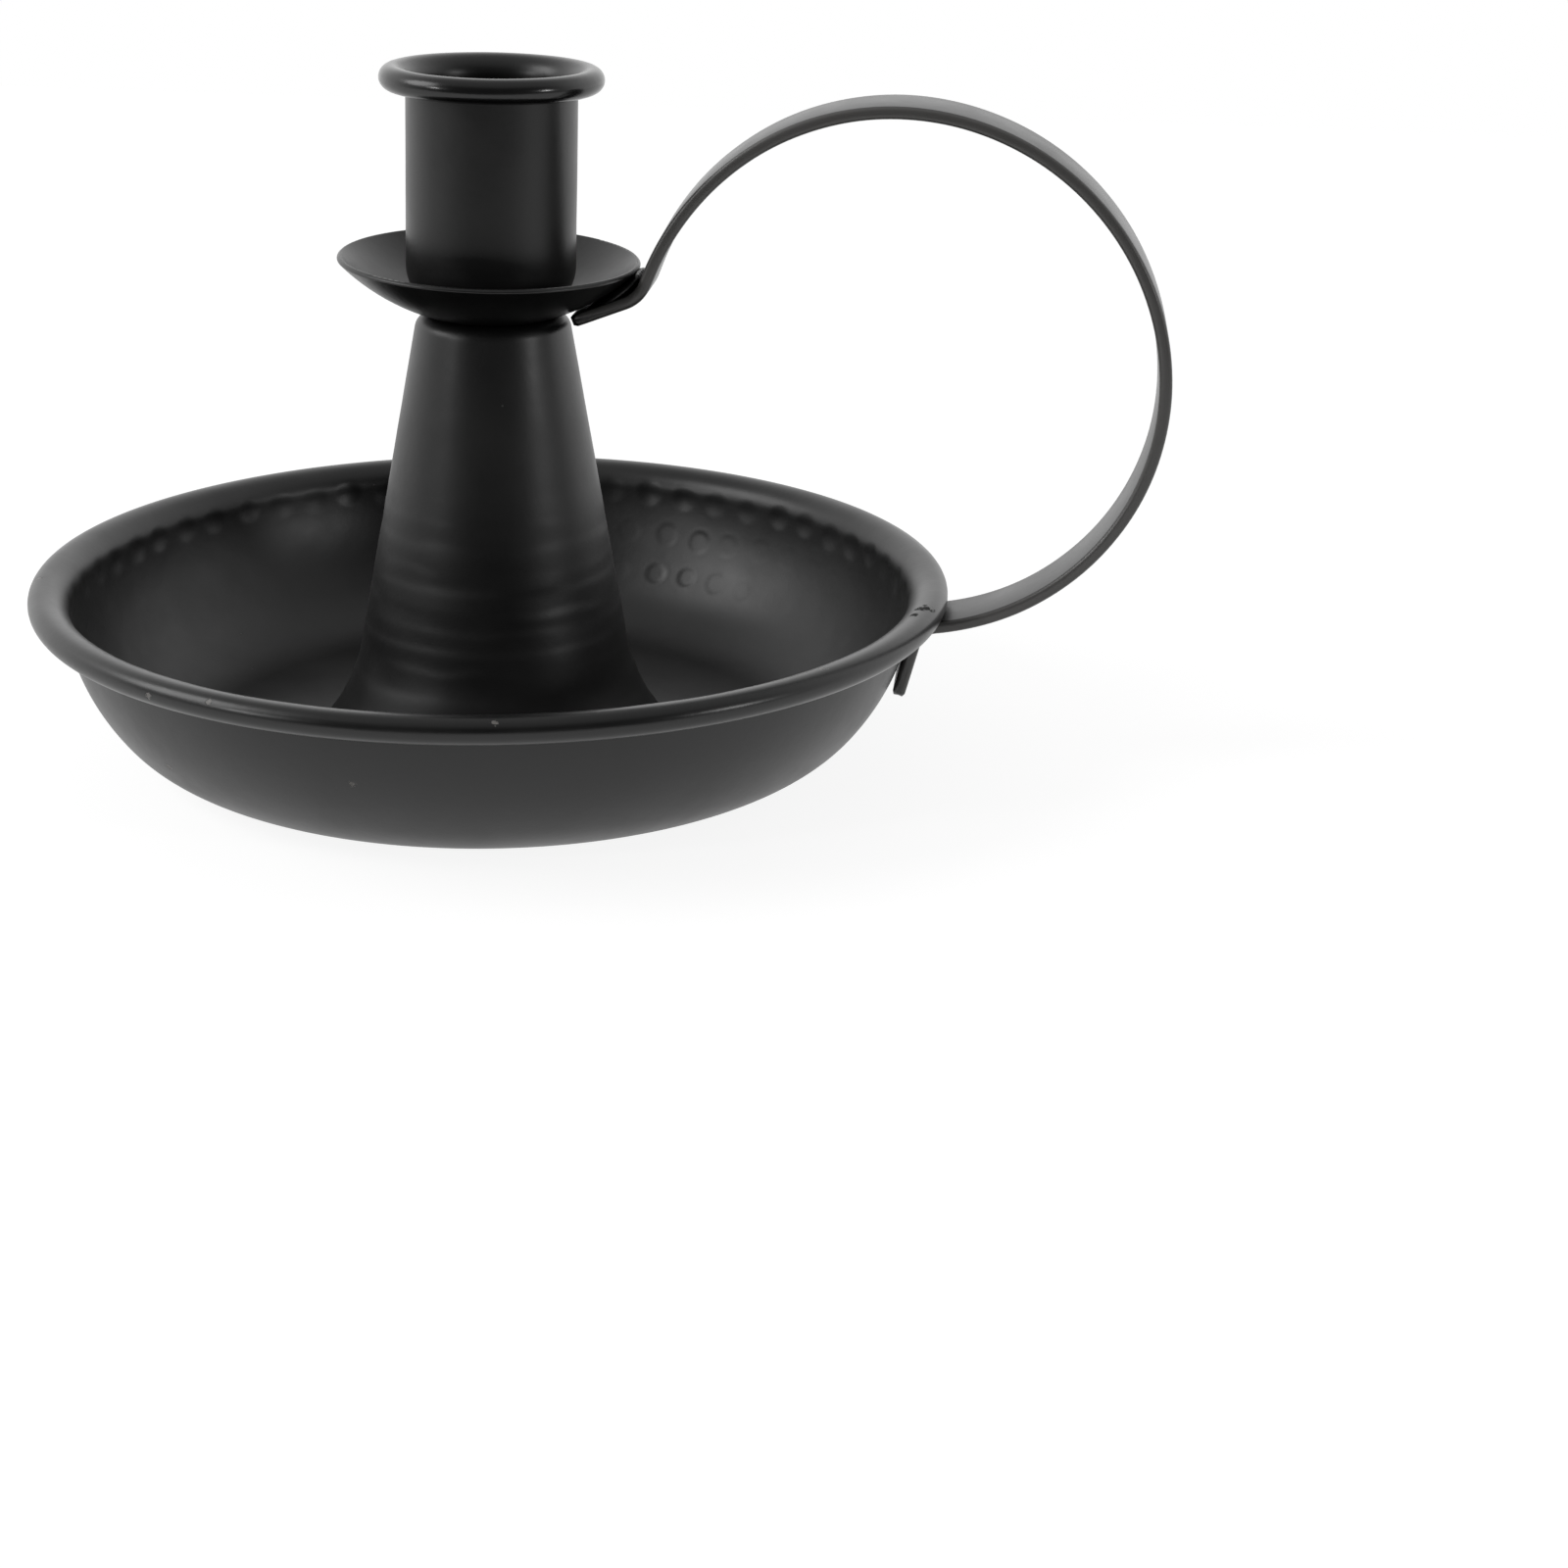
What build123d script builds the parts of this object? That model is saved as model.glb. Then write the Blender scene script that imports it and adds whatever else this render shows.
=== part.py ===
from build123d import *
import math
import os

# Chamberstick with a finger loop. A pressed bowl carries a hollow cone column, a dished drip pan and a
# drawn candle socket, clamped together by one tie screw. A flat strap bent to a finger loop is welded
# to the drip pan and under the rolled rim of the bowl. Millimetres, origin on the table under the
# middle of the bowl, +Z up, handle towards +X.

# Steel sheet and the play between pieces
sheet = 1.0
seat_gap = 0.05

# Candle socket
candle_radius = 11.1
candle_play = 0.15
socket_height = 35.88
lip_curl_radius = 1.78
lip_flare_radius = 3.0
socket_corner_radius = 7.2
curl_turn = 240.0
socket_lean = 1.0

# Drip pan, a cap of a sphere that leans twice as far as the socket, to the same side
dish_radius = 30.8
dish_centre_height = 93.7
pan_thickness = 0.8
pan_rim_radius = 21.95
pan_rim_rounding = 0.3
pan_lean = 2.0
lean_azimuth = -39.5

# Column
column_neck_radius = 11.3
column_half_angle = 10.0
column_shoulder_radius = 2.0
column_shoulder_turn = 100.0
column_flare_height = 15.0
column_foot_margin = 4.3

# Bowl
rim_radius = 67.2
rim_height = 25.9
rim_curl_radius = 1.89
rim_flare_radius = 4.0
rim_wall_angle = 84.0
wall_spread = 24.7
knuckle_angle = 51.0
kick_height = 7.5
kick_top_radius = 11.0
kick_foot_radius = 22.0

# Strap handle
strap_width = 10.7
strap_thickness = 1.8
strap_edge_rounding = 0.35
strap_corner_rounding = 2.4
loop_rise = 24.9
handle_reach = 97.95
crown_share = 0.472
side_share = 0.4595
heel_angle = 82.4
neck_gap = 0.6
neck_slope = 68.6
neck_bend_share = 0.52
flap_slope = 21.5
flap_gap = 0.7
tail_slope = 14.9
tail_length = 8.8

# Welds at the two ends of the loop
weld_bite = 0.3
pan_weld_width = 7.2
pan_weld_drop = 1.5
pan_weld_turn = 14.0
rim_weld_radius = 0.55
rim_weld_width = 8.4
weld_rounding_share = 0.5

# Tie screw with its washers and nut
screw_radius = 2.0
screw_end = 0.6
screw_play = 0.25
thread_play = 0.05
head_radius = 4.0
head_height = 3.1
head_crown = 1.0
recess_length = 4.4
recess_width = 1.1
recess_depth = 1.7
socket_washer_radius = 4.5
base_washer_radius = 6.0
washer_thickness = 0.8
lock_washer_radius = 3.8
lock_washer_thickness = 1.0
lock_washer_slot = 0.9
nut_width = 7.0
nut_height = 3.2
nut_chamfer = 0.4

os.makedirs("parts", exist_ok=True)


def polar(centre, radius, angle):
    """The point at this distance from a centre, at an angle in degrees from the first axis."""
    turn = math.radians(angle)
    return Vector(centre) + Vector(math.cos(turn), math.sin(turn)) * radius


def crossing(start, heading, other_start, other_heading):
    """The point where two straight lines of one plane cross."""
    across = other_start - start
    share = across.cross(other_heading).Z / heading.cross(other_heading).Z
    return start + heading * share


def leaning(angle):
    """An upright drawing plane in the middle of the dish, its second axis leaning by this angle."""
    lean = math.radians(angle)
    side = math.radians(lean_azimuth)
    level = Vector(math.cos(side), math.sin(side))
    upright = Vector(0, 0, 1)
    across = level * math.cos(lean) - upright * math.sin(lean)
    axis = level * math.sin(lean) + upright * math.cos(lean)
    return Plane((0, 0, dish_centre_height), x_dir=across, z_dir=across.cross(axis))


def ring(outer_radius, inner_radius, bottom, height):
    """A flat washer on the middle axis."""
    with BuildPart() as washer:
        with BuildSketch(Plane.XY.offset(bottom)):
            Circle(outer_radius)
            Circle(inner_radius, mode=Mode.SUBTRACT)
        extrude(amount=height)
    return washer.part


# Candle socket, a drawn cup with its lip rolled outwards, drawn along the middle of its sheet from the
# middle of the dish. Both axes pass through that point, so that the seats stay true while they lean.
bore_radius = candle_radius + candle_play
screw_hole_radius = screw_radius + screw_play
socket_corner_centre = bore_radius + sheet - socket_corner_radius
socket_seat_radius = dish_radius - pan_thickness - seat_gap - socket_corner_radius
socket_drop = math.sqrt(socket_seat_radius**2 - socket_corner_centre**2) + socket_corner_radius
socket_hole_radius = screw_hole_radius + socket_drop * math.sin(math.radians(socket_lean))
flare_level = socket_height - socket_drop - lip_flare_radius
socket_plane = leaning(socket_lean)

with BuildPart() as candle_socket:
    with BuildSketch(socket_plane):
        with BuildLine():
            cup_floor = Line(
                (socket_hole_radius, sheet / 2 - socket_drop),
                (socket_corner_centre, sheet / 2 - socket_drop),
            )
            cup_corner = JernArc(cup_floor @ 1, cup_floor % 1, socket_corner_radius - sheet / 2, 90)
            cup_wall = Line(cup_corner @ 1, (bore_radius + sheet / 2, flare_level))
            lip_flare = JernArc(cup_wall @ 1, cup_wall % 1, lip_flare_radius - sheet / 2, -90)
            JernArc(lip_flare @ 1, lip_flare % 1, lip_curl_radius - sheet / 2, -curl_turn)
        trace(line_width=sheet)
    revolve(axis=Axis(socket_plane.origin, socket_plane.y_dir))
candle_socket.part.label = "candle_socket"
export_step(candle_socket.part, "parts/candle_socket.step")

# Drip pan
pan_hole_radius = screw_hole_radius + dish_radius * math.sin(math.radians(pan_lean))
pan_rim_angle = math.degrees(math.asin(pan_rim_radius / dish_radius))
pan_hole_angle = math.degrees(math.asin(pan_hole_radius / dish_radius))
pan_rim_height = dish_centre_height - math.sqrt(dish_radius**2 - pan_rim_radius**2)
pan_plane = leaning(pan_lean)

with BuildPart() as drip_pan:
    with BuildSketch(pan_plane) as pan_section:
        with BuildLine():
            CenterArc(
                (0, 0),
                dish_radius - pan_thickness / 2,
                pan_hole_angle - 90,
                pan_rim_angle - pan_hole_angle,
            )
        trace(line_width=pan_thickness)
        fillet(pan_section.vertices().sort_by(Axis.X)[-2:], radius=pan_rim_rounding)
    revolve(axis=Axis(pan_plane.origin, pan_plane.y_dir))
drip_pan.part.label = "drip_pan"
export_step(drip_pan.part, "parts/drip_pan.step")

# Column, a hollow cone with a flared foot and its top turned in under the drip pan
half_angle = math.radians(column_half_angle)
shoulder_ring = column_neck_radius - column_shoulder_radius * math.cos(half_angle)
shoulder_seat = dish_radius + seat_gap + column_shoulder_radius
shoulder_height = dish_centre_height - math.sqrt(shoulder_seat**2 - shoulder_ring**2)
shoulder_bend = column_shoulder_radius - sheet / 2
turned_angle = column_half_angle + column_shoulder_turn
turned_edge = polar((shoulder_ring, shoulder_height), shoulder_bend, turned_angle)
column_foot_radius = kick_foot_radius + column_foot_margin

with BuildPart() as column:
    with BuildSketch(Plane.XZ):
        with BuildLine():
            shoulder = JernArc(
                turned_edge,
                polar((0, 0), 1, turned_angle - 90),
                shoulder_bend,
                -column_shoulder_turn,
            )
            cone = PolarLine(
                shoulder @ 1,
                ((shoulder @ 1).Y - column_flare_height) / math.cos(half_angle),
                column_half_angle - 90,
            )
            TangentArc(cone @ 1, (column_foot_radius, sheet / 2), tangent=cone % 1)
        trace(line_width=sheet)
    revolve()
    split(bisect_by=Plane.XY.offset(sheet + seat_gap))
column.part.label = "column"
export_step(column.part, "parts/column.step")

# Bowl, pressed from one sheet: kicked-up middle, flat base, curved wall and a rim rolled outwards
base_edge = Vector(rim_radius - wall_spread, sheet / 2)
rim_ring_radius = rim_radius - rim_curl_radius
kick_middle = Vector((kick_top_radius + kick_foot_radius) / 2, (kick_height + sheet) / 2)
flare_start = polar(
    (rim_ring_radius, rim_height - rim_flare_radius),
    rim_flare_radius - sheet / 2,
    rim_wall_angle + 90,
)
wall_chord = polar((0, 0), 1, (knuckle_angle + rim_wall_angle) / 2)
knuckle_end = crossing(base_edge, polar((0, 0), 1, knuckle_angle / 2), flare_start, wall_chord)

with BuildPart() as bowl:
    with BuildSketch(Plane.XZ):
        with BuildLine():
            kick = Line(
                (screw_hole_radius, kick_height + sheet / 2),
                (kick_top_radius, kick_height + sheet / 2),
            )
            kick_bend = TangentArc(kick @ 1, kick_middle, tangent=kick % 1)
            kick_foot = TangentArc(kick_bend @ 1, (kick_foot_radius, sheet / 2), tangent=kick_bend % 1)
            base = Line(kick_foot @ 1, base_edge)
            knuckle = TangentArc(base @ 1, knuckle_end, tangent=base % 1)
            wall = TangentArc(knuckle @ 1, flare_start, tangent=knuckle % 1)
            flare = TangentArc(wall @ 1, (rim_ring_radius, rim_height - sheet / 2), tangent=wall % 1)
            JernArc(flare @ 1, flare % 1, rim_curl_radius - sheet / 2, -curl_turn)
        trace(line_width=sheet)
    revolve()
bowl.part.label = "bowl"
export_step(bowl.part, "parts/bowl.step")

# Handle, a flat strap drawn along its middle. The loop runs through its highest and its outermost
# point, lies on the rim's bead from below, and its two ends lean on the drip pan and on the wall.
half_strap = strap_thickness / 2
bead = Vector(rim_ring_radius, rim_height - rim_curl_radius)
bead_reach = rim_curl_radius + seat_gap + half_strap
crown_height = pan_rim_height + loop_rise - half_strap
side_radius = handle_reach - half_strap
loop_start = Vector(pan_rim_radius + neck_gap + half_strap, pan_rim_height)
crown = Vector(loop_start.X + (side_radius - loop_start.X) * crown_share, crown_height)
side = Vector(side_radius, bead.Y + (crown_height - bead.Y) * side_share)
heel_end = polar(bead, bead_reach, -heel_angle)

# Two bends lead from the crown back to the neck, two to the side, and two more to the bead
back_start = polar((0, 0), 1, 180 + neck_slope / 4)
back_middle = crossing(crown, back_start, loop_start, polar((0, 0), 1, 180 + neck_slope * 3 / 4))
top_middle = crossing(crown, polar((0, 0), 1, -90 / 4), side, polar((0, 0), 1, -90 * 3 / 4))
heel_start = polar((0, 0), 1, -90 - heel_angle / 4)
heel_middle = crossing(side, heel_start, heel_end, polar((0, 0), 1, -90 - heel_angle * 3 / 4))

# The flap lies along the underside of the drip pan, the tail along the outside of the wall
flap_heading = polar((0, 0), 1, flap_slope + 180)
flap_seat = polar((0, dish_centre_height), dish_radius + seat_gap + half_strap, flap_slope - 90)
flap_radius = column_neck_radius + flap_gap
flap_end = crossing(flap_seat, flap_heading, Vector(flap_radius, 0), Vector(0, 1))
neck_heading = polar((0, 0), 1, neck_slope + 180)
neck_corner = crossing(loop_start, neck_heading, flap_seat, flap_heading)
neck_reach = (neck_corner - loop_start).length * neck_bend_share
tail_heading = polar((0, 0), 1, -90 - tail_slope)
tail_seat = polar(wall.arc_center, wall.radius + sheet / 2 + seat_gap + half_strap, -tail_slope)

with BuildPart() as handle:
    with BuildSketch(Plane.XZ):
        with BuildLine() as strap_line:
            back = TangentArc(crown, back_middle, tangent=(-1, 0))
            TangentArc(back_middle, loop_start, tangent=back % 1)
            neck = Line(loop_start, neck_corner - neck_heading * neck_reach)
            neck_bend = TangentArc(neck @ 1, neck_corner + flap_heading * neck_reach, tangent=neck % 1)
            Line(neck_bend @ 1, flap_end)
            top = TangentArc(crown, top_middle, tangent=(1, 0))
            TangentArc(top_middle, side, tangent=top % 1)
            lower_side = TangentArc(side, heel_middle, tangent=(0, -1))
            heel = TangentArc(heel_middle, heel_end, tangent=lower_side % 1)
            tail_corner = crossing(heel @ 1, heel % 1, tail_seat, tail_heading)
            bend_reach = (tail_corner - heel @ 1).length
            bend = TangentArc(heel @ 1, tail_corner + tail_heading * bend_reach, tangent=heel % 1)
            Line(bend @ 1, bend @ 1 + tail_heading * tail_length)
        trace(line_width=strap_thickness)
    extrude(amount=strap_width / 2, both=True)
    for strap_end in (flap_end, bend @ 1 + tail_heading * tail_length):
        end_face = handle.faces().sort_by_distance(Vector(strap_end.X, 0, strap_end.Y))[0]
        fillet(end_face.edges().filter_by(Axis.Y, reverse=True), radius=strap_corner_rounding)
    rims = handle.faces().filter_by(Axis.Y).edges().filter_by(lambda edge: edge.length > strap_thickness)
    fillet(rims, radius=strap_edge_rounding)
handle.part.label = "handle"
export_step(handle.part, "parts/handle.step")

# Welds: one fills the wedge between drip pan and strap, one lies in the corner under the rim's bead
pan_weld_height = pan_rim_height - pan_weld_drop
pan_side = math.sqrt(dish_radius**2 - (dish_centre_height - pan_weld_height) ** 2)
slope = math.radians(neck_slope)
strap_side = loop_start.X - pan_weld_drop / math.tan(slope) - half_strap / math.sin(slope)
pan_weld_place = Vector((pan_side + strap_side) / 2, pan_weld_height)
pan_weld_radius = (strap_side - pan_side) / 2 + weld_bite
wedge_gap = (dish_radius + seat_gap) / math.cos(math.radians(pan_weld_turn)) - dish_radius
wedge_place = polar((0, dish_centre_height), dish_radius + wedge_gap / 2, flap_slope - 90 + pan_weld_turn)
weld_reach = rim_curl_radius + rim_weld_radius - weld_bite
weld_depth = rim_curl_radius + seat_gap - rim_weld_radius + weld_bite
rim_weld_place = polar(bead, weld_reach, -heel_angle - math.degrees(math.acos(weld_depth / weld_reach)))

with BuildPart() as drip_pan_weld:
    with BuildSketch(Plane.XZ):
        with Locations(pan_weld_place):
            Circle(pan_weld_radius)
        with Locations(wedge_place):
            Circle(wedge_gap / 2 + weld_bite)
        make_hull()
    extrude(amount=pan_weld_width / 2, both=True)
    fillet(drip_pan_weld.edges(), radius=pan_weld_radius * weld_rounding_share)
    add(drip_pan.part, mode=Mode.SUBTRACT)
    add(handle.part, mode=Mode.SUBTRACT)
drip_pan_weld.part.label = "drip_pan_weld"
export_step(drip_pan_weld.part, "parts/drip_pan_weld.step")

with BuildPart() as rim_weld:
    with BuildSketch(Plane.XZ):
        with Locations(rim_weld_place):
            Circle(rim_weld_radius)
    extrude(amount=rim_weld_width / 2, both=True)
    fillet(rim_weld.edges(), radius=rim_weld_radius * weld_rounding_share)
    add(bowl.part, mode=Mode.SUBTRACT)
    add(handle.part, mode=Mode.SUBTRACT)
rim_weld.part.label = "rim_weld"
export_step(rim_weld.part, "parts/rim_weld.step")

# Washer in the candle socket for the head of the upright tie screw, clear of the leaning floor
floor_height = dish_centre_height - (socket_drop - sheet) / math.cos(math.radians(socket_lean))
floor_rise = socket_washer_radius * math.tan(math.radians(socket_lean))
socket_washer_bottom = floor_height + floor_rise + seat_gap
socket_washer = ring(socket_washer_radius, screw_hole_radius, socket_washer_bottom, washer_thickness)
socket_washer.label = "socket_washer"
export_step(socket_washer, "parts/socket_washer.step")

# Washer, spring washer and nut under the kicked-up middle of the bowl
base_washer_bottom = kick_height - seat_gap - washer_thickness
base_washer = ring(base_washer_radius, screw_hole_radius, base_washer_bottom, washer_thickness)
base_washer.label = "base_washer"
export_step(base_washer, "parts/base_washer.step")

lock_washer_bottom = base_washer_bottom - seat_gap - lock_washer_thickness
with BuildPart() as lock_washer:
    add(ring(lock_washer_radius, screw_hole_radius, lock_washer_bottom, lock_washer_thickness))
    with BuildSketch(Plane.XY.offset(lock_washer_bottom)):
        with Locations((lock_washer_radius, 0)):
            Rectangle(2 * (lock_washer_radius - screw_radius), lock_washer_slot)
    extrude(amount=lock_washer_thickness, mode=Mode.SUBTRACT)
lock_washer.part.label = "lock_washer"
export_step(lock_washer.part, "parts/lock_washer.step")

nut_bottom = lock_washer_bottom - seat_gap - nut_height
with BuildPart() as hex_nut:
    with BuildSketch(Plane.XY.offset(nut_bottom)):
        Circle(nut_width / math.sqrt(3))
    extrude(amount=nut_height)
    chamfer(hex_nut.edges().group_by(Axis.Z)[0] + hex_nut.edges().group_by(Axis.Z)[-1], length=nut_chamfer)
    with BuildSketch(Plane.XY.offset(nut_bottom)):
        RegularPolygon(nut_width / 2, side_count=6, major_radius=False)
        Circle(screw_radius + thread_play, mode=Mode.SUBTRACT)
    extrude(amount=nut_height, mode=Mode.INTERSECT)
hex_nut.part.label = "hex_nut"
export_step(hex_nut.part, "parts/hex_nut.step")

# Tie screw from its head in the candle socket down through the nut
head_seat = socket_washer_bottom + washer_thickness + seat_gap
head_top = head_seat + head_height
with BuildPart() as tie_screw:
    with BuildSketch(Plane.XY.offset(head_seat)):
        Circle(head_radius)
    extrude(amount=head_height)
    fillet(tie_screw.faces().sort_by(Axis.Z)[-1].edges(), radius=head_crown)
    with BuildSketch(Plane.XY.offset(head_top)):
        Rectangle(recess_length, recess_width)
        Rectangle(recess_width, recess_length)
    extrude(amount=-recess_depth, mode=Mode.SUBTRACT)
    with BuildSketch(Plane.XY.offset(head_seat)):
        Circle(screw_radius)
    extrude(amount=nut_bottom - screw_end - head_seat)
tie_screw.part.label = "tie_screw"
export_step(tie_screw.part, "parts/tie_screw.step")
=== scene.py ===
import math
import random

import bmesh
import bpy
from mathutils import Matrix, Vector, noise


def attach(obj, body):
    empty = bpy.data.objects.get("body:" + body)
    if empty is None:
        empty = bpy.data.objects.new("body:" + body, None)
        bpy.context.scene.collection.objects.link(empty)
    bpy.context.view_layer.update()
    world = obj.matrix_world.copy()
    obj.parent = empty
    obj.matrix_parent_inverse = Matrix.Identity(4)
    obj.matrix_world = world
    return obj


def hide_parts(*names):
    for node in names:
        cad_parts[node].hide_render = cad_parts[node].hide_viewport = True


# A chamberstick in satin black: a bowl and cone column hammered from sheet, a leaning drip pan and
# candle socket, and a flat strap bent to a finger loop. The pieces are drawn in millimetres, and MM
# turns them into metres. Points closer than JOIN become one. The lamps' places are in metres.
MM = 0.001
JOIN = 0.002 * MM
WHITE = (1, 1, 1, 1)

# The turned pieces: their sheet, the point that pan and socket lean about, and the marks in a ring
SHEET = 1.0
DISH_CENTRE = Vector((0.0, 0.0, 93.7))
LEAN_AZIMUTH = math.radians(-39.5)
SOCKET_LEAN = math.radians(1.0)
RING_MARKS = 60

# The strap: its section, the rounding of its corners, and the ends of its flap and tail in X and Z
STRAP_WIDTH = 10.7
STRAP_THICK = 1.8
STRAP_CORNER = 2.4
STRAP_EDGE = 0.62
FLAP_SLOPE = 21.5
FLAP_TIP = (12.0, 64.3025)
TAIL_TIP = (60.4591, 10.0825)

FASTENERS = ("tie_screw", "socket_washer", "base_washer", "lock_washer", "hex_nut")

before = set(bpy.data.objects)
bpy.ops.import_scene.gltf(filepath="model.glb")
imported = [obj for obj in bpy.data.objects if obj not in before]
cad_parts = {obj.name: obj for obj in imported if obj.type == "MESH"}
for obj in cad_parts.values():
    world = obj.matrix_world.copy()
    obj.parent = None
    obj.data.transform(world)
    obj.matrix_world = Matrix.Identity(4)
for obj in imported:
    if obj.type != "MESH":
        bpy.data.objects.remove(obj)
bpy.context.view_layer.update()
scene = bpy.context.scene


# Camera, from the outlines of the rim, the lip, the socket and the column in the photograph
def place_camera():
    place = Vector((77.85, -400.50, 149.22)) * MM
    yaw, pitch, roll = -0.08748, 0.25245, 0.01994
    ahead = Vector(
        (math.sin(yaw) * math.cos(pitch), math.cos(yaw) * math.cos(pitch), -math.sin(pitch))
    )
    level = Vector((math.cos(yaw), -math.sin(yaw), 0))
    upward = level.cross(ahead)
    right = level * math.cos(roll) + upward * math.sin(roll)
    up = upward * math.cos(roll) - level * math.sin(roll)
    data = bpy.data.cameras.new("camera")
    data.lens = 65.567
    data.sensor_width = 36
    data.shift_y = -0.2125
    data.clip_start = 0.01
    camera = bpy.data.objects.new("camera", data)
    scene.collection.objects.link(camera)
    axes = Matrix((right, up, -ahead)).transposed().to_4x4()
    camera.matrix_world = Matrix.Translation(place) @ axes
    scene.camera = camera


def round_lamp(name, place, aim, width, power):
    """A round studio lamp that looks from its place at a point."""
    data = bpy.data.lights.new(name, "AREA")
    data.shape = "DISK"
    data.size = width
    data.energy = power
    lamp = bpy.data.objects.new(name, data)
    turn = (Vector(aim) - Vector(place)).to_track_quat("-Z", "Y")
    lamp.matrix_world = Matrix.Translation(place) @ turn.to_matrix().to_4x4()
    scene.collection.objects.link(lamp)


class Tree:
    """Short words for making and joining shader nodes."""

    def __init__(self, owner):
        self.tree = owner
        self.nodes = owner.nodes

    def add(self, kind, settings=None, **inputs):
        """A new node. In the name of an input, an underscore stands for a space."""
        node = self.nodes.new("ShaderNode" + kind)
        for key, value in (settings or {}).items():
            setattr(node, key, value)
        for key, value in inputs.items():
            self.feed(node, key.replace("_", " "), value)
        return node

    def feed(self, node, key, value):
        """Joins or sets an input, given by its name, or by # and its number."""
        socket = node.inputs[int(key[1:])] if key[0] == "#" else node.inputs[key]
        if isinstance(value, bpy.types.NodeSocket):
            self.tree.links.new(value, socket)
        else:
            socket.default_value = value

    def math(self, operation, *values):
        node = self.add("Math", {"operation": operation})
        for index, value in enumerate(values):
            self.feed(node, "#%d" % index, value)
        return node.outputs[0]

    def remap(self, value, low, high, new_low=0.0, new_high=1.0):
        """A soft step from new_low to new_high, between low and high."""
        node = self.add("MapRange", {"interpolation_type": "SMOOTHSTEP"})
        for index, number in enumerate((value, low, high, new_low, new_high)):
            self.feed(node, "#%d" % index, number)
        return node.outputs[0]

    def blend(self, share, first, second):
        node = self.add("Mix", {"data_type": "FLOAT"})
        self.feed(node, "#0", share)
        self.feed(node, "#2", first)
        self.feed(node, "#3", second)
        return node.outputs[0]

    def tint(self, share, first, second):
        node = self.add("Mix", {"data_type": "RGBA"})
        self.feed(node, "#0", share)
        self.feed(node, "#6", first)
        self.feed(node, "#7", second)
        return node.outputs[2]

    def cloud(self, place, scale, detail, roughness=0.5):
        """A noise pattern, with its scale in cells per metre."""
        node = self.add("TexNoise", Vector=place, Scale=scale, Detail=detail, Roughness=roughness)
        return node.outputs[0]


def new_material(name):
    material = bpy.data.materials.new(name)
    material.use_nodes = True
    tree = Tree(material.node_tree)
    tree.nodes.clear()
    return material, tree


# Studio: a white tent, dark low down on the camera's side and dimmer overhead, with a small lamp
# on either side and a wide one high on the left
def light_studio():
    tent_bright, tent_dark, ceiling_share = 1.2, 0.1, 0.45
    matt_share = 0.55
    camera_side_x, camera_side_y = 0.09, -0.996
    world = bpy.data.worlds.new("studio")
    scene.world = world
    world.use_nodes = True
    tree = Tree(world.node_tree)
    tree.nodes.clear()
    direction = tree.add("TexCoord").outputs["Generated"]
    parts = tree.add("SeparateXYZ", Vector=direction)
    rise = parts.outputs[2]
    across = tree.math("MULTIPLY", parts.outputs[0], camera_side_x)
    towards = tree.math("ADD", across, tree.math("MULTIPLY", parts.outputs[1], camera_side_y))
    facing = tree.remap(towards, -0.45, 0.6)
    low = tree.remap(rise, 0.5, 1.05, 1.0, 0.0)
    wall = tree.blend(tree.math("MULTIPLY", facing, low), tent_bright, tent_dark)
    tent = tree.math("MULTIPLY", wall, tree.remap(rise, 0.45, 0.95, 1.0, ceiling_share))
    paths = tree.add("LightPath")
    seen = tree.math("MAXIMUM", paths.outputs["Is Camera Ray"], paths.outputs["Is Transmission Ray"])
    soft = tree.math("MULTIPLY", tent, tree.blend(paths.outputs["Is Glossy Ray"], matt_share, 1.0))
    glow = tree.add("Background", Color=WHITE, Strength=tree.blend(seen, soft, 1.0))
    tree.add("OutputWorld", Surface=glow.outputs[0])
    at_column, at_bowl = (0.0, 0.0, 0.09), (0.0, 0.0, 0.03)
    round_lamp("lamp_right", (1.0, -0.42, 0.27), at_column, width=0.12, power=1.2)
    round_lamp("lamp_left", (-0.82, -0.69, 0.36), at_column, width=0.12, power=1.2)
    round_lamp("window_left", (-0.86, -0.24, 0.62), at_bowl, width=0.62, power=4.0)


def lay_floor():
    """A white table top that keeps the object's soft shadow, and is clear from below."""
    half_side, back, drop = 0.5, 0.2, 0.02 * MM
    grey, seen_white = (0.3, 0.3, 0.3, 1), 0.88
    drawing = bmesh.new()
    bmesh.ops.create_grid(drawing, x_segments=1, y_segments=1, size=half_side)
    bmesh.ops.translate(drawing, verts=drawing.verts, vec=(0, back, -drop))
    material, tree = new_material("white table")
    paths = tree.add("LightPath")
    seen = tree.math("MAXIMUM", paths.outputs["Is Camera Ray"], paths.outputs["Is Glossy Ray"])
    matt = tree.add("BsdfDiffuse", Color=grey)
    glow = tree.add("Emission", Color=WHITE, Strength=tree.math("MULTIPLY", seen, seen_white))
    both = tree.add("AddShader")
    tree.feed(both, "#0", matt.outputs[0])
    tree.feed(both, "#1", glow.outputs[0])
    clear = tree.add("BsdfTransparent")
    either = tree.add("MixShader")
    tree.feed(either, "#0", tree.add("NewGeometry").outputs["Backfacing"])
    tree.feed(either, "#1", both.outputs[0])
    tree.feed(either, "#2", clear.outputs[0])
    tree.add("OutputMaterial", Surface=either.outputs[0])
    table = finish_piece(drawing, "table_top", material)


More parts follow.
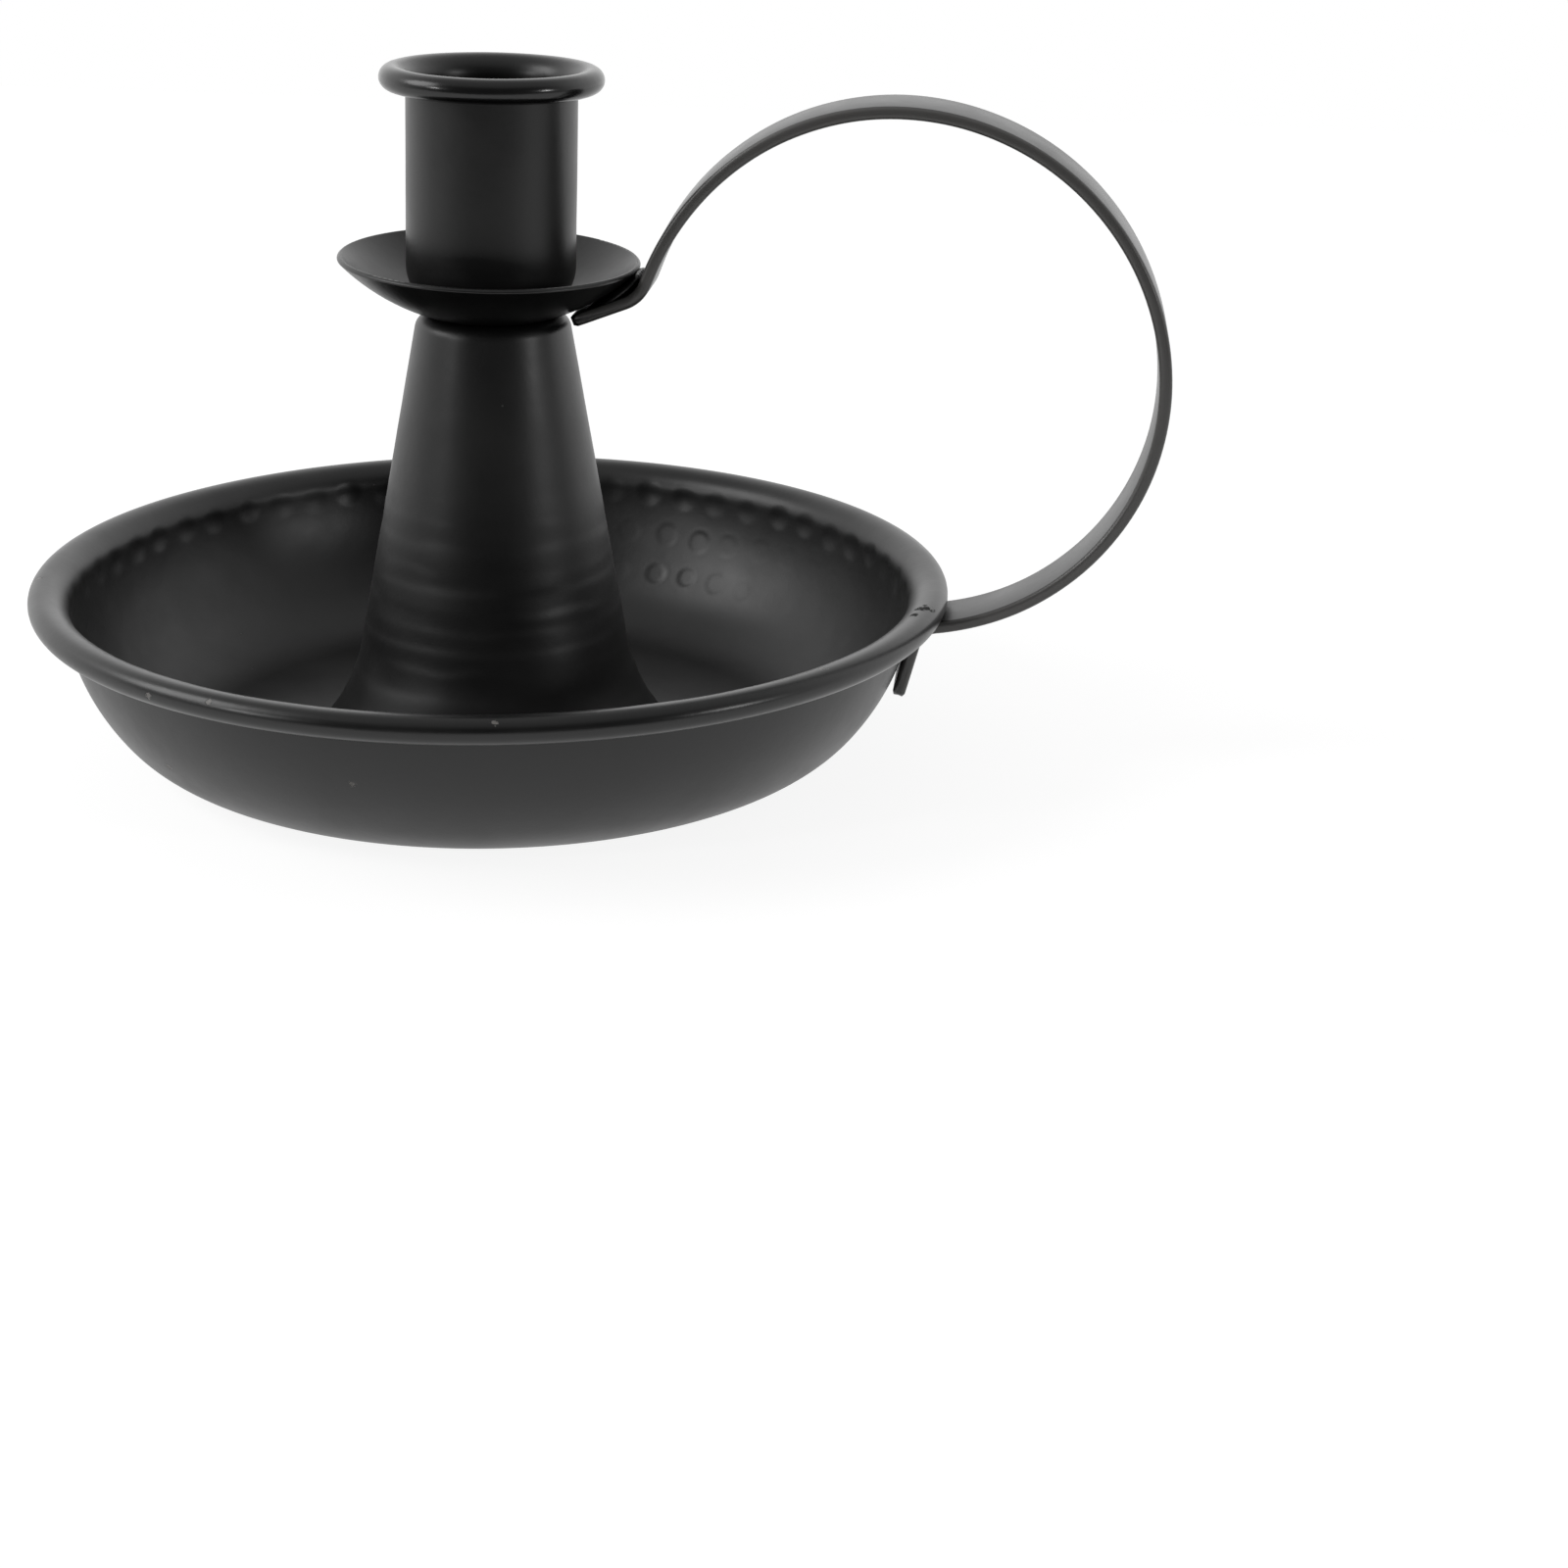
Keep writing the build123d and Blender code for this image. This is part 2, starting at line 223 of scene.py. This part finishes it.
# Drawing and turning of sheet pieces
class Pen:
    """Draws an outline in the XZ plane with straight runs and bends, and keeps the way along it."""

    def __init__(self, start, heading):
        self.drawing = bmesh.new()
        self.tip = self.drawing.verts.new((start[0] * MM, 0, start[1] * MM))
        self.heading = math.radians(heading)

    def side(self, offset):
        """A step to the left of the heading."""
        return Vector((-math.sin(self.heading), 0, math.cos(self.heading))) * offset * MM

    def line(self, length, steps):
        ahead = Vector((math.cos(self.heading), 0, math.sin(self.heading))) * length * MM / steps
        for _ in range(steps):
            self.tip = bmesh.ops.extrude_vert_indiv(self.drawing, verts=[self.tip])["verts"][0]
            bmesh.ops.translate(self.drawing, verts=[self.tip], vec=ahead)

    def bend(self, radius, turn, steps):
        swing = math.radians(turn)
        made = bmesh.ops.spin(
            self.drawing,
            geom=[self.tip],
            cent=self.tip.co + self.side(math.copysign(radius, turn)),
            axis=(0, -1, 0),
            angle=swing,
            steps=steps,
            use_duplicate=False,
        )
        self.tip = [part for part in made["geom_last"] if isinstance(part, bmesh.types.BMVert)][0]
        self.heading += swing


def sheet_outline(start, heading, moves, thickness):
    """The closed outline of a bent sheet: out along its right side, back along its left side.

    A move is (length, 0, steps) for a straight run and (radius, turn, steps) for a bend, both along
    the middle of the sheet. The two ends are round.
    """
    pen = Pen(start, heading)
    half = thickness / 2
    bmesh.ops.translate(pen.drawing, verts=[pen.tip], vec=pen.side(-half))
    for size, turn, steps in moves:
        if turn:
            pen.bend(size + math.copysign(half, turn), turn, steps)
        else:
            pen.line(size, steps)
    pen.bend(half, 180, 4)
    for size, turn, steps in reversed(moves):
        if turn:
            pen.bend(size - math.copysign(half, turn), -turn, steps)
        else:
            pen.line(size, steps)
    pen.bend(half, 180, 4)
    bmesh.ops.remove_doubles(pen.drawing, verts=pen.drawing.verts, dist=JOIN)
    return pen.drawing


def turned(drawing, steps):
    """Turns an outline round the upright axis: one wedge is spun, and its copies close the round."""
    wedges = 12
    bmesh.ops.spin(
        drawing,
        geom=drawing.verts[:] + drawing.edges[:],
        cent=(0, 0, 0),
        axis=(0, 0, 1),
        angle=math.tau / wedges,
        steps=steps // wedges,
        use_duplicate=False,
    )
    wedge = drawing.verts[:] + drawing.edges[:] + drawing.faces[:]
    for index in range(1, wedges):
        copy = bmesh.ops.duplicate(drawing, geom=wedge)["geom"]
        points = [part for part in copy if isinstance(part, bmesh.types.BMVert)]
        swing = Matrix.Rotation(math.tau * index / wedges, 3, "Z")
        bmesh.ops.rotate(drawing, verts=points, cent=(0, 0, 0), matrix=swing)
    bmesh.ops.remove_doubles(drawing, verts=drawing.verts, dist=JOIN)
    bmesh.ops.recalc_face_normals(drawing, faces=drawing.faces)


def finish_piece(drawing, name, material):
    data = bpy.data.meshes.new(name)
    for face in drawing.faces:
        face.smooth = True
    drawing.to_mesh(data)
    drawing.free()
    data.materials.append(material)
    piece = bpy.data.objects.new(name, data)
    scene.collection.objects.link(piece)
    return piece


def dress(piece, node):
    """Puts a finished piece in the place of a CAD node."""
    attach(piece, "root")
    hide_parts(node)


# Hammering
def clamped(value):
    return min(1.0, max(0.0, value))


def eased(share):
    """A share between 0 and 1, with a soft start and a soft end."""
    return share * share * (3.0 - 2.0 * share)


def bell(value, middle, width):
    return math.exp(-(((value - middle) / width) ** 2))


def waver(drawing, scale, height):
    """Lets the surface waver a little, as hand-worked metal does."""
    for vertex in drawing.verts:
        vertex.co += vertex.normal * noise.noise(vertex.co * scale) * height * MM


def ring_of_dents(start, wobble, sizes, depths, seed):
    """Places of hammer marks round the bowl: angle, how far off the ring, radius and depth."""
    uneven = 0.07
    picker = random.Random(seed)
    marks = []
    for index in range(RING_MARKS):
        angle = start + math.tau * (index + picker.uniform(-uneven, uneven)) / RING_MARKS
        off = picker.uniform(-wobble, wobble)
        marks.append((angle, off, picker.uniform(*sizes), picker.uniform(*depths)))
    return marks


def dent(offset, radius, depth, punched):
    """Depth of a round hammer mark at a distance from its middle.

    A soft mark is a hollow. A punched one has a flat bottom, a wall, and a low lip round it.
    """
    reach, wall_top, wall_width = 1.5, 1.1, 0.42
    lip_top, lip_width, lip_height = 1.15, 0.14, 0.2
    share = offset / radius
    if share > reach:
        return 0.0
    if not punched:
        return depth * max(0.0, 1.0 - share * share) ** 1.5
    wall = eased(clamped((wall_top - share) / wall_width))
    return depth * (wall - bell(share, lip_top, lip_width) * lip_height)


def refine_wall(drawing):
    """Smaller faces on the inside of the wall behind the column, where the marks show best."""
    wall_from, wall_to = 50.0, 62.6
    # Lowest and highest point in millimetres, first and last direction in degrees
    punched_rings = (7.0, 17.8, 35.0, 100.0)
    top_ring = (18.8, 23.6, 15.0, 165.0)
    edges = set()
    for face in drawing.faces:
        middle = face.calc_center_median() / MM
        facing = face.normal.x * middle.x + face.normal.y * middle.y
        if facing >= 0 or not wall_from < math.hypot(middle.x, middle.y) < wall_to:
            continue
        angle = math.degrees(math.atan2(middle.y, middle.x))
        for bottom, top, first, last in (punched_rings, top_ring):
            if bottom < middle.z < top and first < angle < last:
                edges.update(face.edges)
    edges = sorted(edges, key=lambda edge: edge.index)
    bmesh.ops.subdivide_edges(drawing, edges=edges, cuts=1, use_grid_fill=True)


def hammer_bowl(drawing):
    """Three rings of hammer marks on the inside of the wall, and soft waves over all of it."""
    # A ring's radius and height, whether its marks are punched, and the marks
    rings = [
        (61.45, 21.6, False, ring_of_dents(0.068, 0.3, (2.1, 2.5), (0.1, 0.22), 3)),
        (59.7, 15.3, True, ring_of_dents(0.009, 0.4, (1.8, 2.1), (0.05, 0.09), 5)),
        (56.6, 9.3, True, ring_of_dents(0.019, 0.3, (1.6, 1.85), (0.06, 0.11), 8)),
    ]
    # The punched marks are deep in one short stretch behind the column, and faint elsewhere
    deep_at, deep_over, faint = 1.17, 0.15, 0.12
    waves = ((0.11, 0.05), (0.31, 0.018))
    wall_from, wall_to, mark_reach = 30.0, 64.6, 5.0
    for vertex in drawing.verts:
        place = vertex.co / MM
        radius = math.hypot(place.x, place.y)
        if radius < wall_from or radius > wall_to:
            continue
        outward = Vector((place.x, place.y, 0)) / radius
        normal = vertex.normal
        outer_side = normal.dot(outward) * 0.8 - normal.z * 0.6 > 0
        if outer_side:
            continue
        angle = math.atan2(place.y, place.x) % math.tau
        moved = sum(noise.noise(place * scale) * height for scale, height in waves)
        for ring_radius, ring_height, punched, marks in rings:
            away = math.hypot(radius - ring_radius, place.z - ring_height)
            if away > mark_reach:
                continue
            rise = math.copysign(away, place.z - ring_height)
            strength = 1.0
            if punched:
                strength = faint + (1.0 - faint) * bell(angle, deep_at, deep_over)
            nearest = round((angle - marks[0][0]) / math.tau * RING_MARKS)
            for index in (nearest - 1, nearest, nearest + 1):
                turn, off, size, depth = marks[index % RING_MARKS]
                gap = (angle - turn + math.pi) % math.tau - math.pi
                offset = math.hypot(gap * radius, rise - off)
                moved += dent(offset, size, depth * strength, punched)
        vertex.co -= normal * moved * MM


def make_bowl(coat):
    hole_edge = (2.25, 8.0)
    moves = [
        (8.75, 0, 3),  # raised middle, clear of the table
        (5.9083, -68.574, 6),
        (5.9083, 68.574, 6),
        (20.5, 0, 4),  # floor
        (16.5384, 51.0, 20),  # heel
        (29.7935, 33.0, 30),  # wall
        (3.5, -84.0, 12),
        (1.39, -240.0, 20),  # bead, rolled outwards
    ]
    drawing = sheet_outline(hole_edge, 0, moves, SHEET)
    turned(drawing, steps=420)
    drawing.edges.index_update()
    refine_wall(drawing)
    bmesh.ops.recalc_face_normals(drawing, faces=drawing.faces)
    drawing.normal_update()
    hammer_bowl(drawing)
    dress(finish_piece(drawing, "hammered_bowl", coat), "bowl")


def column_rows(top):
    """Rows of flat hammer marks up the cone: middle, pitch, count, start and the marks.

    A mark has a shift along its row, a tilt and a depth. A row's shelf tilts all of its marks.
    """
    picker = random.Random(21)
    rows = []
    bottom = 1.5
    while bottom < top:
        pitch = picker.uniform(2.3, 4.2)
        count = picker.randint(9, 12)
        start = picker.uniform(0, math.tau)
        shelf = picker.uniform(0.3, 0.9)
        marks = []
        for _ in range(count):
            shift = picker.uniform(-0.3, 0.3)
            tilt = picker.uniform(-0.7, 0.7) + shelf
            marks.append((shift, tilt, picker.uniform(-1.0, 1.0)))
        rows.append((bottom + pitch / 2, pitch, count, start, marks))
        bottom += pitch
    return rows


def hammer_column(drawing):
    """Wide flat hammer marks in rows round the lower part of the cone, fading out above."""
    marks_to, fade_over, smooth_from = 46.0, 18.0, 60.0
    tilt_height, mark_height, wave_height, top_waves = 0.11, 0.05, 0.07, 0.25
    squareness, firmness, row_reach = 2.6, 7.04, 1.1
    rows = column_rows(marks_to)
    for vertex in drawing.verts:
        place = vertex.co / MM
        radius = math.hypot(place.x, place.y)
        outward = Vector((place.x, place.y, 0)) / radius
        if vertex.normal.dot(outward) < 0.1 or place.z > smooth_from:
            continue
        angle = math.atan2(place.y, place.x)
        fade = clamped((marks_to - place.z) / fade_over) ** 1.2
        total, weight = 0.0, 0.0
        for middle, pitch, count, start, marks in rows:
            rise = (place.z - middle) / pitch
            if abs(rise) > row_reach:
                continue
            turns = ((angle - start) % math.tau) / math.tau * count
            nearest = math.floor(turns)
            for index in (nearest - 1, nearest, nearest + 1):
                shift, tilt, deep = marks[index % count]
                run = turns - index - 0.5 - shift * 0.5
                off = abs(rise) ** squareness + abs(run) ** squareness
                share = math.exp(-firmness * off)
                total += share * (tilt * rise * tilt_height + deep * mark_height)
                weight += share
        facets = total / (weight + 0.02)
        waves = noise.noise(Vector((place.x, place.y, place.z * 2.2)) * 0.12) * wave_height
        moved = facets * fade + waves * (top_waves + (1.0 - top_waves) * fade)
        vertex.co += outward * moved * MM


def make_column(coat):
    top_edge = (8.8174, 63.6125)
    moves = [
        (1.5, -100.0, 10),  # turned-in top
        (48.1956, 0, 110),  # cone
        (29.0171, 30.8, 36),  # flared foot
    ]
    drawing = sheet_outline(top_edge, 20, moves, SHEET)
    turned(drawing, steps=240)
    drawing.normal_update()
    hammer_column(drawing)
    dress(finish_piece(drawing, "hammered_column", coat), "column")


def make_socket(coat):
    """The candle socket, drawn upright from the dish centre, then leaned and lifted to its place."""
    hole_edge = (2.7628, -28.8824)
    moves = [
        (2.2872, 0, 2),  # floor
        (6.7, 90.0, 14),
        (25.68, 0, 14),  # wall
        (2.5, -90.0, 12),
        (1.28, -240.0, 20),  # lip, rolled outwards
    ]
    drawing = sheet_outline(hole_edge, 0, moves, SHEET)
    turned(drawing, steps=240)
    axis = Vector((-math.sin(LEAN_AZIMUTH), math.cos(LEAN_AZIMUTH), 0))
    leaning = Matrix.Rotation(SOCKET_LEAN, 3, axis)
    bmesh.ops.rotate(drawing, verts=drawing.verts, cent=(0, 0, 0), matrix=leaning)
    bmesh.ops.translate(drawing, verts=drawing.verts, vec=DISH_CENTRE * MM)
    waver(drawing, scale=130, height=0.03)
    dress(finish_piece(drawing, "drawn_socket", coat), "candle_socket")


def weld_bead(name, start, end, radius, width, sag, coat):
    """A rippled weld across the strap, run from start to end and sagging in between."""
    ripple_height, ripple_scale, lump_height, lump_scale = 0.06, 2.1, 0.09, 1.7
    drawn_out = 1.6
    drawing = bmesh.new()
    bmesh.ops.create_icosphere(drawing, subdivisions=5, radius=1.0)
    first, last = Vector(start), Vector(end)
    middle, reach = (first + last) / 2, (last - first) / 2
    along = reach.normalized() if reach.length else Vector((1, 0, 0))
    for vertex in drawing.verts:
        across = vertex.co.y
        ripple = 1.0 + ripple_height * math.sin(across * width * ripple_scale)
        ripple += lump_height * noise.noise(vertex.co * lump_scale)
        share = max(-1.0, min(1.0, vertex.co.dot(along) * drawn_out))
        blunt = math.sqrt(1.0 + across**2)
        flat = Vector((vertex.co.x, 0, vertex.co.z)) * radius * ripple * blunt + reach * share
        flat.z -= sag * (1.0 - share**2)
        vertex.co = (middle + flat + Vector((0, across * width / 2, 0))) * MM
    dress(finish_piece(drawing, "rippled_" + name, coat), name)


# Handle, bent from flat strap with rolled edges
def round_strap_ends(drawing):
    """Rounds the corners at the end of the flap and at the end of the tail."""
    for x, z in (FLAP_TIP, TAIL_TIP):
        tip = Vector((x, 0, z))
        for vertex in drawing.verts:
            away = math.hypot(vertex.co.x / MM - tip.x, vertex.co.z / MM - tip.z)
            if away < STRAP_CORNER:
                short = STRAP_CORNER - away
                cut = STRAP_CORNER - math.sqrt(STRAP_CORNER**2 - short**2)
                vertex.co.y *= 1.0 - cut / (STRAP_WIDTH / 2)


def twist_loop(drawing):
    """Twists the upper half of the loop a little, so that more of its upper face shows."""
    loop_centre = Vector((57.0, 0, 60.0)) * MM
    twist_from, twist_over, twist_slope = 62.0, 26.0, 0.045
    for vertex in drawing.verts:
        outward = Vector((vertex.co.x - loop_centre.x, 0, vertex.co.z - loop_centre.z))
        twist = twist_slope * eased(clamped((vertex.co.z / MM - twist_from) / twist_over))
        vertex.co += outward.normalized() * vertex.co.y * twist


def make_handle(coat):
    moves = [
        (7.6, 0, 12),  # flap under the pan
        (4.9716, 47.1, 10),
        (2.0, 0, 2),
        (38.1814, -34.3, 20),  # loop, in six arcs
        (36.7443, -34.3, 20),
        (38.7898, -45.0, 26),
        (39.0321, -45.0, 26),
        (36.3543, -41.2, 24),
        (36.0611, -41.2, 24),
        (3.5531, 67.5, 12),
        (7.9, 0, 12),  # tail on the wall
    ]
    half, slope = STRAP_THICK / 2, math.radians(FLAP_SLOPE)
    x, z = FLAP_TIP
    flap_end = Vector((x + half * math.cos(slope), 0, z + half * math.sin(slope)))
    drawing = sheet_outline((flap_end.x, flap_end.z), FLAP_SLOPE, moves, STRAP_THICK)
    bmesh.ops.translate(drawing, verts=drawing.verts, vec=(0, -STRAP_WIDTH / 2 * MM, 0))
    side = bmesh.ops.contextual_create(drawing, geom=drawing.edges[:])["faces"]
    other = bmesh.ops.extrude_face_region(drawing, geom=side, use_keep_orig=True)["geom"]
    moved = [part for part in other if isinstance(part, bmesh.types.BMVert)]
    bmesh.ops.translate(drawing, verts=moved, vec=(0, STRAP_WIDTH * MM, 0))
    bmesh.ops.recalc_face_normals(drawing, faces=drawing.faces)
    rims = []
    for edge in drawing.edges:
        one, two = edge.verts
        if abs(one.co.y - two.co.y) < 0.1 * MM:
            rims.append(edge)
    bmesh.ops.bevel(
        drawing,
        geom=rims,
        affect="EDGES",
        offset=STRAP_EDGE * MM,
        segments=4,
        profile=0.5,
        material=-1,
        clamp_overlap=True,
    )
    round_strap_ends(drawing)
    twist_loop(drawing)
    waver(drawing, scale=90, height=0.05)
    dress(finish_piece(drawing, "bent_strap", coat), "handle")


# Surfaces
def new_group(name, inputs, outputs):
    """A node group with named inputs, each with its kind and default, and named outputs."""
    group = bpy.data.node_groups.new(name, "ShaderNodeTree")
    for label, kind, value in inputs:
        kind = "NodeSocket" + kind
        socket = group.interface.new_socket(name=label, in_out="INPUT", socket_type=kind)
        socket.default_value = value
    for label, kind in outputs:
        kind = "NodeSocket" + kind
        group.interface.new_socket(name=label, in_out="OUTPUT", socket_type=kind)
    tree = Tree(group)
    return group, tree, tree.nodes.new("NodeGroupInput"), tree.nodes.new("NodeGroupOutput")


def coat_grain_group():
    """Baked lacquer on hand-worked steel: orange peel, uneven gloss, hand polish and dust."""
    worn_black = (0.009, 0.0089, 0.0088, 1)
    dust_grey = (0.16, 0.155, 0.15, 1)
    group, tree, given, out = new_group(
        "coat grain",
        [
            ("Black", "Color", (0.005, 0.005, 0.0052, 1)),
            ("Matt", "Float", 0.45),
            ("Polished", "Float", 0.3),
            ("Polish From", "Float", 0.0),
            ("Polish To", "Float", 0.001),
            ("Peel", "Float", 0.15),
        ],
        [("Color", "Color"), ("Roughness", "Float"), ("Normal", "Vector")],
    )
    place = tree.add("TexCoord").outputs["Object"]
    clouds = tree.cloud(place, scale=70.0, detail=4.0, roughness=0.55)
    mottle = tree.cloud(place, scale=420.0, detail=3.0, roughness=0.6)
    peel = tree.cloud(place, scale=900.0, detail=2.0)
    fine = tree.cloud(place, scale=3800.0, detail=1.0)
    specks = tree.add("TexVoronoi", {"feature": "F1"}, Vector=place, Scale=260.0, Randomness=1.0)
    picked = tree.add("SeparateColor", Color=specks.outputs["Color"]).outputs[0]
    dust = tree.remap(specks.outputs["Distance"], 0.03, 0.055, 1.0, 0.0)
    dust = tree.math("MULTIPLY", dust, tree.remap(picked, 0.93, 0.94))

    worn = tree.remap(clouds, 0.35, 0.7)
    shade = tree.tint(worn, given.outputs["Black"], worn_black)
    shade = tree.tint(tree.math("MULTIPLY", dust, 0.5), shade, dust_grey)
    tree.feed(out, "Color", shade)

    parts = tree.add("SeparateXYZ", Vector=place)
    flat = tree.add("CombineXYZ", X=parts.outputs[0], Y=parts.outputs[1])
    radius = tree.add("VectorMath", {"operation": "LENGTH"})
    tree.feed(radius, "#0", flat.outputs[0])
    polish_from, polish_to = given.outputs["Polish From"], given.outputs["Polish To"]
    reach = tree.math("SUBTRACT", radius.outputs["Value"], polish_from)
    reach = tree.math("DIVIDE", reach, tree.math("SUBTRACT", polish_to, polish_from))
    handled = tree.remap(reach, 0.0, 1.0)
    gloss = tree.blend(handled, given.outputs["Matt"], given.outputs["Polished"])
    cloudy = tree.math("ADD", tree.math("MULTIPLY", worn, 0.6), tree.math("MULTIPLY", mottle, 0.4))
    uneven = tree.math("MULTIPLY", tree.math("SUBTRACT", cloudy, 0.4), 0.1)
    gloss = tree.math("ADD", gloss, uneven)
    tree.feed(out, "Roughness", tree.math("ADD", gloss, tree.math("MULTIPLY", dust, 0.3)))

    height = tree.math("ADD", peel, tree.math("MULTIPLY", fine, 0.25))
    height = tree.math("ADD", height, tree.math("MULTIPLY", dust, 0.5))
    bump = tree.add("Bump", Strength=given.outputs["Peel"], Distance=0.1 * MM, Height=height)
    tree.feed(out, "Normal", bump.outputs[0])
    return group


def nick_group():
    """Small chips where the rim and the wall have been knocked: a ragged patch round a point."""
    ragged = 2.6
    group, tree, given, out = new_group(
        "nick",
        [("Place", "Vector", (0, 0, 0)), ("Size", "Float", 0.001)],
        [("Mask", "Float")],
    )
    place = tree.add("TexCoord").outputs["Object"]
    rough = tree.cloud(place, scale=1500.0, detail=3.0, roughness=0.7)
    away = tree.add("VectorMath", {"operation": "DISTANCE"})
    tree.feed(away, "#0", place)
    tree.feed(away, "#1", given.outputs["Place"])
    share = tree.math("DIVIDE", away.outputs["Value"], given.outputs["Size"])
    tear = tree.math("MULTIPLY", tree.math("SUBTRACT", rough, 0.5), ragged)
    share = tree.math("ADD", share, tear)
    tree.feed(out, "Mask", tree.remap(share, 0.35, 0.6, 1.0, 0.0))
    return group


def black_coat(name, grain, matt, polished, polish_from=0.0, polish_to=1.0, painted_edge_highlight=0.0, nicks=()):
    """The satin black finish: matt near the upright axis, polished by hands on the rim and the lip.

    The column takes a duller value for its foot instead. Beyond the given distance from the XZ
    plane, the strap's side faces and rounded edges are painted pale grey, a painted highlight. A
    nick is given by the group that draws it, its place, its size, and its colour with how much
    duller than the coat it is.
    """
    highlight_grey = (0.13, 0.127, 0.123, 1)
    edge_width = 0.2
    material, tree = new_material(name)
    surface = tree.add("Group", {"node_tree": grain}, Matt=matt, Polished=polished, Peel=0.12)
    tree.feed(surface, "Polish From", polish_from * MM)
    tree.feed(surface, "Polish To", polish_to * MM)
    colour = surface.outputs["Color"]
    gloss = surface.outputs["Roughness"]
    normal = surface.outputs["Normal"]
    # Painted highlight: beyond this distance from the XZ plane the strap's side faces and rounded
    # edges are painted pale grey
    if painted_edge_highlight:
        parts = tree.add("SeparateXYZ", Vector=tree.add("TexCoord").outputs["Object"])
        across = tree.math("ABSOLUTE", parts.outputs[1])
        edge_highlight = tree.remap(across, painted_edge_highlight * MM, (painted_edge_highlight + edge_width) * MM)
        colour = tree.tint(edge_highlight, colour, highlight_grey)
    for nick, place, size, (bare, dull) in nicks:
        chip = tree.add("Group", {"node_tree": nick}, Place=Vector(place) * MM, Size=size * MM)
        mask = chip.outputs["Mask"]
        colour = tree.tint(mask, colour, bare)
        gloss = tree.math("ADD", gloss, tree.math("MULTIPLY", mask, dull))
        edge = tree.add("Bump", {"invert": True}, Strength=0.6, Distance=0.15 * MM, Height=mask)
        tree.feed(edge, "Normal", normal)
        normal = edge.outputs[0]
    shader = tree.add("BsdfPrincipled")
    tree.feed(shader, "Base Color", colour)
    tree.feed(shader, "Roughness", gloss)
    tree.feed(shader, "Normal", normal)
    tree.add("OutputMaterial", Surface=shader.outputs[0])
    return material


def turned_steel(name):
    """Zinc-plated steel for the hidden screw, washers and nut."""
    zinc_grey, zinc_pale = (0.46, 0.46, 0.47, 1), (0.62, 0.61, 0.58, 1)
    material, tree = new_material(name)
    place = tree.add("TexCoord").outputs["Object"]
    flattened = tree.add("Mapping", Vector=place, Scale=(1, 1, 14)).outputs[0]
    streaks = tree.cloud(flattened, scale=500.0, detail=4.0)
    patches = tree.cloud(place, scale=180.0, detail=3.0)
    shader = tree.add("BsdfPrincipled", Metallic=1.0)
    tree.feed(shader, "Base Color", tree.tint(patches, zinc_grey, zinc_pale))
    tree.feed(shader, "Roughness", tree.remap(streaks, 0.2, 0.8, 0.24, 0.46))
    bump = tree.add("Bump", Strength=0.2, Distance=0.05 * MM, Height=streaks)
    tree.feed(shader, "Normal", bump.outputs[0])
    tree.add("OutputMaterial", Surface=shader.outputs[0])
    return material


place_camera()
light_studio()
lay_floor()

grain = coat_grain_group()
nick = nick_group()
# The colour of a nick, and how much duller than the coat it is
knocked = ((0.004, 0.004, 0.004, 1), 0.6)
chipped = ((0.22, 0.21, 0.2, 1), 0.12)
bowl_nicks = [
    (nick, (64.3, -10.6, 25.9), 2.0, knocked),
    (nick, (62.9, -13.6, 25.8), 1.3, knocked),
    (nick, (52.0, -39.2, 25.9), 0.9, chipped),
    (nick, (12.6, -65.2, 25.5), 0.75, chipped),
    (nick, (-34.5, -57.6, 24.0), 0.8, chipped),
    (nick, (-25.3, -61.8, 25.1), 0.7, chipped),
    (nick, (-63.9, -15.6, 25.8), 0.9, chipped),
    (nick, (-36.1, -45.3, 9.3), 1.0, chipped),
    (nick, (-7.2, -59.9, 14.1), 0.8, chipped),
]
bowl_coat = black_coat(
    "satin black bowl",
    grain,
    matt=0.4,
    polished=0.3,
    polish_from=61.5,
    polish_to=64.0,
    nicks=bowl_nicks,
)
column_coat = black_coat(
    "satin black column",
    grain,
    matt=0.38,
    polished=0.48,
    polish_from=12.0,
    polish_to=22.0,
)
socket_coat = black_coat(
    "satin black socket",
    grain,
    matt=0.36,
    polished=0.22,
    polish_from=12.6,
    polish_to=14.0,
)
# The strap's side faces and rounded edges get a painted highlight, a pale grey band
strap_coat = black_coat("satin black strap", grain, matt=0.32, polished=0.32, painted_edge_highlight=4.9)
pan_coat = black_coat("satin black pan", grain, matt=0.36, polished=0.36)
steel = turned_steel("plated steel")
for name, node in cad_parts.items():
    node.data.materials.clear()
    node.data.materials.append(steel if name in FASTENERS else pan_coat)

make_bowl(bowl_coat)
make_column(column_coat)
make_socket(socket_coat)
weld_bead(
    "drip_pan_weld",
    start=(14.2, 0, 65.3),
    end=(21.1, 0, 70.5),
    radius=0.9,
    width=9.2,
    sag=0.45,
    coat=pan_coat,
)
weld_bead(
    "rim_weld",
    start=(63.85, 0, 22.6),
    end=(63.85, 0, 22.6),
    radius=0.5,
    width=8.4,
    sag=0.0,
    coat=pan_coat,
)
make_handle(strap_coat)

scene.view_settings.view_transform = "Standard"
bpy.context.view_layer.update()
